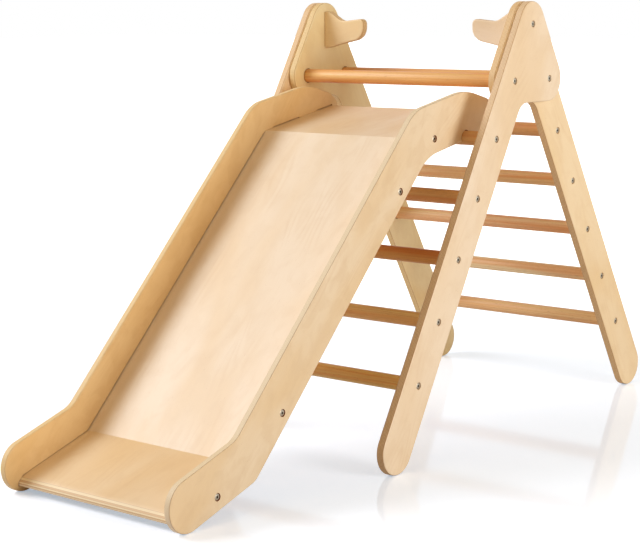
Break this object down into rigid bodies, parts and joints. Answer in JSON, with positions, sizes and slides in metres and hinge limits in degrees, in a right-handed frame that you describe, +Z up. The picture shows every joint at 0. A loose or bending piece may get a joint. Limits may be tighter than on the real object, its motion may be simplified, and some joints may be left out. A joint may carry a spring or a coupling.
{
  "type": "folding climbing triangle with ramp",
  "caption": "Folding wooden climbing triangle for small children, with round rungs, hand grips at the top and an S-shaped slide ramp hooked over a front rung.",
  "frame": {"origin": "on the floor, below the middle of the whole toy with its ramp", "axes": "+X across the width towards the right-hand leg as seen from the ramp's end, +Y from the ramp's nose towards the rear feet, +Z up"},
  "size_m": [0.53, 1.4198, 0.8203],
  "materials": {
    "birch_ply": "clear satin lacquer on birch plywood, plies showing along the edges",
    "dowel_beech": "reddish brown turned hardwood, satin lacquer",
    "bolt_steel": "nickel-plated steel with hex sockets",
    "insert_zinc": "zinc-plated steel",
    "washer_nylon": "natural nylon"
  },
  "bodies": {
    "front_frame": {"front_leg_left": "birch_ply", "front_leg_right": "birch_ply", "front_rung_2": "dowel_beech", "front_rung_3": "dowel_beech", "front_rung_4": "dowel_beech", "front_rung_5": "dowel_beech", "front_rung_6": "dowel_beech", "front_rung_bolts": "bolt_steel", "front_rung_inserts": "insert_zinc", "lock_bolts": "bolt_steel"},
    "rear_frame": {"rear_leg_left": "birch_ply", "rear_leg_right": "birch_ply", "top_rung_front": "dowel_beech", "top_rung_rear": "dowel_beech", "rear_rung_2": "dowel_beech", "rear_rung_3": "dowel_beech", "rear_rung_4": "dowel_beech", "rear_rung_5": "dowel_beech", "rear_rung_6": "dowel_beech", "rear_rung_bolts": "bolt_steel", "rear_rung_inserts": "insert_zinc", "pivot_bolts": "bolt_steel", "pivot_washers": "washer_nylon", "grip_left": "birch_ply", "grip_right": "birch_ply", "grip_dowels": "dowel_beech", "grip_inserts": "insert_zinc"},
    "ramp": {"ramp_side_left": "birch_ply", "ramp_side_right": "birch_ply", "ramp_platform": "birch_ply", "ramp_bed": "birch_ply", "ramp_landing": "birch_ply", "ramp_bolts": "bolt_steel", "ramp_barrel_nuts": "insert_zinc"}
  },
  "joints": [
    {"name": "rear_fold", "type": "hinge", "parent": "front_frame", "child": "rear_frame", "pos_m": [0, 0.29319, 0.67241], "axis": [-1, 0, 0], "range_deg": [0, 61.4]},
    {"name": "ramp_swing", "type": "hinge", "parent": "front_frame", "child": "ramp", "pos_m": [0, 0.10633, 0.56751], "axis": [-1, 0, 0], "range_deg": [0, 45]}
  ]
}
